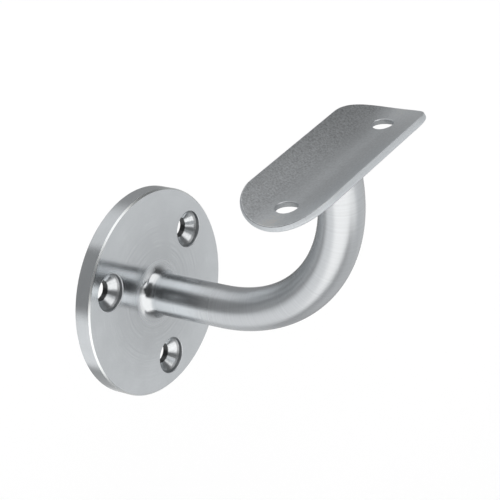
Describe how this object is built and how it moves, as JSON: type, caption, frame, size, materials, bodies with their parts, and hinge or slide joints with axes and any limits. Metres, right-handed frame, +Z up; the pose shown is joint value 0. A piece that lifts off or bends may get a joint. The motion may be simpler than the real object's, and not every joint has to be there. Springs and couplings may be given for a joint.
{
  "type": "handrail bracket",
  "caption": "Wall bracket for a round handrail: round countersunk flange, bent round arm and a curved saddle plate that the rail lies in.",
  "frame": {"origin": "centre of the flange's wall face", "axes": "+Y into the wall, +X along the rail, +Z up"},
  "size_m": [0.0762, 0.0999, 0.0984],
  "materials": {
    "turned_steel": "satin, fine turning marks",
    "ground_steel": "brushed along the bar",
    "matt_steel": "matt, fine grain"
  },
  "bodies": {
    "root": {"wall_flange": "turned_steel", "root_weld": "ground_steel", "arm": "ground_steel", "saddle_weld": "ground_steel", "saddle_plate": "matt_steel"}
  },
  "joints": []
}
